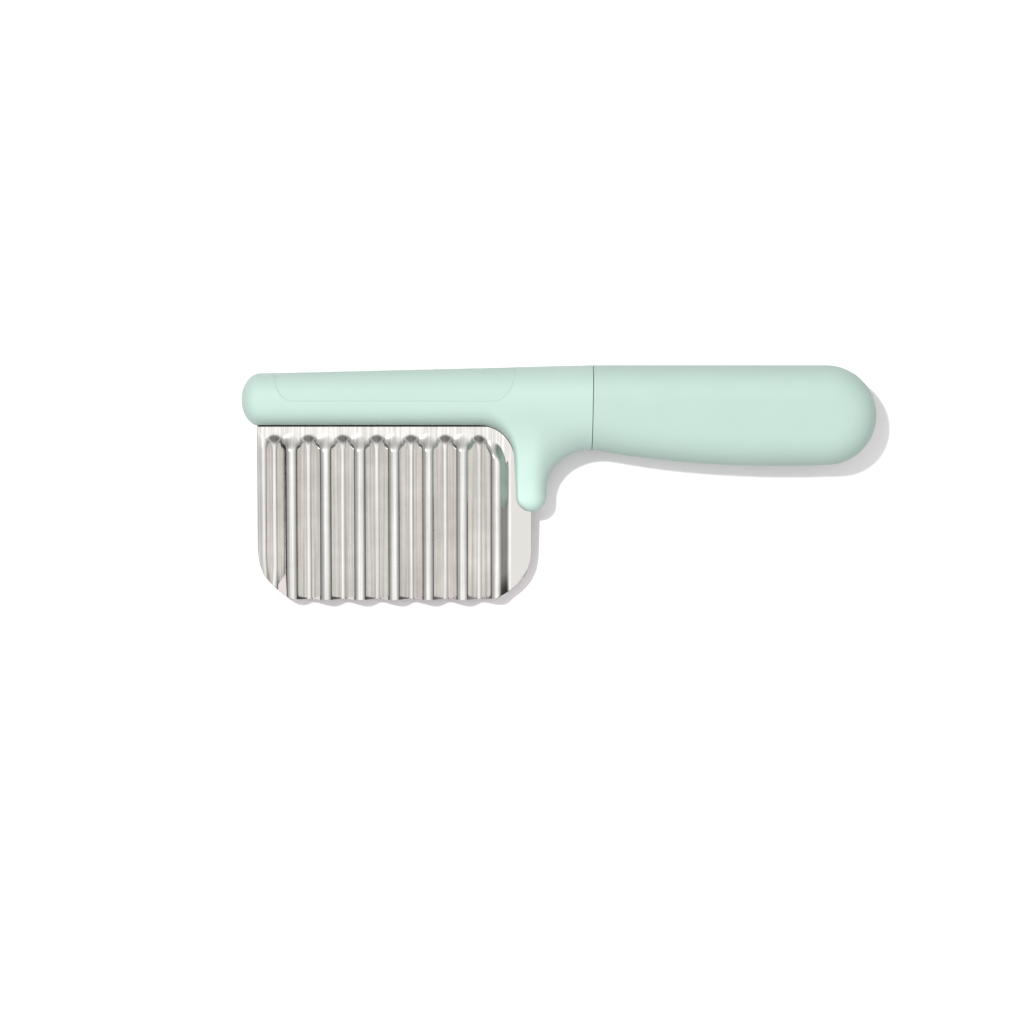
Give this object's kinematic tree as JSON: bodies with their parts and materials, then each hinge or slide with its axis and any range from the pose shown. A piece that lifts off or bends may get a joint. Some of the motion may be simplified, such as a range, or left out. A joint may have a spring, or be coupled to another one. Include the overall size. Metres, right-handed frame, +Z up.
{
  "type": "crinkle cutter",
  "caption": "Hand-held crinkle cutter: a fluted steel blade under a rounded hard spine with a finger guard, a soft press pad along the spine and a soft rounded grip.",
  "frame": {"origin": "centre of the tool's outline, on the surface that it lies on", "axes": "+X from the nose to the end of the grip, +Y from the cutting edge to the spine, +Z up, square to the blade"},
  "size_m": [0.185, 0.0686, 0.021],
  "materials": {
    "blade_steel": "polished stainless sheet",
    "body_plastic": "satin moulded pale mint",
    "pad_rubber": "matte soft pale mint",
    "grip_rubber": "matte soft pale mint",
    "fastener_steel": "plain"
  },
  "bodies": {
    "root": {"blade": "blade_steel", "front_body_shell": "body_plastic", "back_body_shell": "body_plastic", "spine_pad": "pad_rubber", "grip_sleeve": "grip_rubber", "blade_dowel_1": "fastener_steel", "blade_dowel_2": "fastener_steel", "blade_dowel_3": "fastener_steel", "blade_dowel_4": "fastener_steel", "core_screw_1": "fastener_steel", "core_screw_2": "fastener_steel", "core_screw_3": "fastener_steel"}
  },
  "joints": []
}
